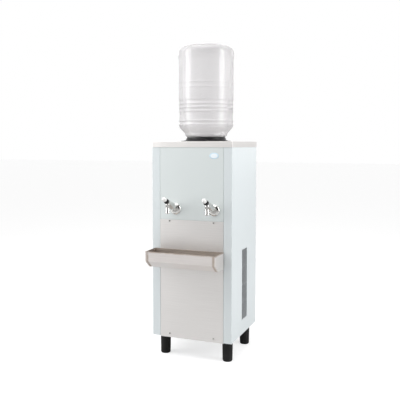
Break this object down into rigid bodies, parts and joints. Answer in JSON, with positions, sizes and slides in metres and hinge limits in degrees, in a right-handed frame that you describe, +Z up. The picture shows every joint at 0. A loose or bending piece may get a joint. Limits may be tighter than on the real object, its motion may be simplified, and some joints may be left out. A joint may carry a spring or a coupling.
{
  "type": "bottled water cooler",
  "caption": "Free-standing top-loading water cooler: steel cabinet on legs, push-button taps over a hanging drip tray, and an inverted water bottle seated in a collar on the lid.",
  "frame": {"origin": "on the floor, under the middle of the whole cooler (cabinet, tray, taps and rear knob)", "axes": "+Z up, -Y out of the front with the taps, +X to the right of someone facing the front"},
  "size_m": [0.401, 0.534, 1.4828],
  "materials": {
    "stainless": "brushed",
    "painted_sheet": "satin",
    "galvanised": "matt",
    "screw_steel": "bright",
    "leg_rubber": "matt",
    "badge": "satin",
    "collar_plastic": "gloss",
    "bottle_plastic": "clear gloss",
    "gasket_rubber": "matt",
    "inner_plastic": "satin",
    "copper_jacket": "satin",
    "foam": "matt",
    "tap_chrome": "polished",
    "tap_black": "gloss",
    "spring_steel": "bright",
    "button_white": "gloss",
    "hose_silicone": "satin",
    "brass_nut": "satin",
    "compressor_black": "satin",
    "terminal_plastic": "matt",
    "fin_aluminium": "satin",
    "copper": "satin",
    "shroud_black": "satin",
    "motor_steel": "satin",
    "fan_plastic": "satin",
    "control_plastic": "matt"
  },
  "bodies": {
    "cabinet": {"base_pan": "galvanised", "leg_front_left": "leg_rubber", "leg_front_right": "leg_rubber", "leg_back_left": "leg_rubber", "leg_back_right": "leg_rubber", "leg_bolts": "screw_steel", "side_panel_left": "painted_sheet", "side_panel_right": "painted_sheet", "vent_grille_left": "galvanised", "vent_grille_right": "galvanised", "upper_front_panel": "painted_sheet", "lower_front_panel": "stainless", "front_panel_screws": "screw_steel", "back_panel": "galvanised", "back_panel_screws": "screw_steel", "top_cover": "stainless", "badge_plate": "badge", "bottle_collar": "collar_plastic", "water_tank": "stainless", "tank_gasket": "gasket_rubber", "tank_baffle": "inner_plastic", "evaporator_jacket": "copper_jacket", "insulation_front": "foam", "insulation_back": "foam", "tank_shelf": "galvanised", "tap_flange_left": "tap_chrome", "tap_body_left": "tap_chrome", "tap_cartridge_left": "tap_black", "tap_spring_left": "spring_steel", "tap_hose_left": "hose_silicone", "tap_flange_right": "tap_chrome", "tap_body_right": "tap_chrome", "tap_cartridge_right": "tap_black", "tap_spring_right": "spring_steel", "tap_hose_right": "hose_silicone", "tap_nuts": "brass_nut", "tray_rail": "stainless", "compressor": "compressor_black", "compressor_mounts": "gasket_rubber", "terminal_cover": "terminal_plastic", "condenser_core": "fin_aluminium", "condenser_tube": "copper", "filter_drier": "copper", "fan_shroud": "shroud_black", "fan_motor": "motor_steel", "discharge_line": "copper", "suction_line": "copper", "capillary_tube": "copper", "thermostat": "control_plastic", "cable_gland": "control_plastic"},
    "bottle": {"water_bottle": "bottle_plastic"},
    "tray": {"drip_tray": "stainless"},
    "button_left": {"push_button_left": "button_white", "tap_stem_left": "spring_steel", "tap_washer_left": "gasket_rubber"},
    "button_right": {"push_button_right": "button_white", "tap_stem_right": "spring_steel", "tap_washer_right": "gasket_rubber"},
    "fan": {"fan_blade": "fan_plastic"},
    "knob": {"thermostat_knob": "control_plastic"}
  },
  "joints": [
    {"name": "bottle_lift", "type": "slide", "parent": "cabinet", "child": "bottle", "axis": [0, 0, 1], "range_m": [0, 0.15]},
    {"name": "tray_lift", "type": "slide", "parent": "cabinet", "child": "tray", "axis": [0, 0, 1], "range_m": [0, 0.12]},
    {"name": "button_left_press", "type": "slide", "parent": "cabinet", "child": "button_left", "axis": [0, 0.915, -0.4035], "range_m": [0, 0.007], "stiffness_N_per_m": 400, "springref_m": -0.01, "deforming": ["tap_spring_left"]},
    {"name": "button_right_press", "type": "slide", "parent": "cabinet", "child": "button_right", "axis": [0, 0.915, -0.4035], "range_m": [0, 0.007], "stiffness_N_per_m": 400, "springref_m": -0.01, "deforming": ["tap_spring_right"]},
    {"name": "fan_spin", "type": "hinge", "parent": "cabinet", "child": "fan", "pos_m": [0.1333, 0.06029, 0.3315], "axis": [1, 0, 0], "continuous": true},
    {"name": "knob_turn", "type": "hinge", "parent": "cabinet", "child": "knob", "pos_m": [0.12, 0.25879, 0.64], "axis": [0, 1, 0], "range_deg": [0, 300]}
  ]
}
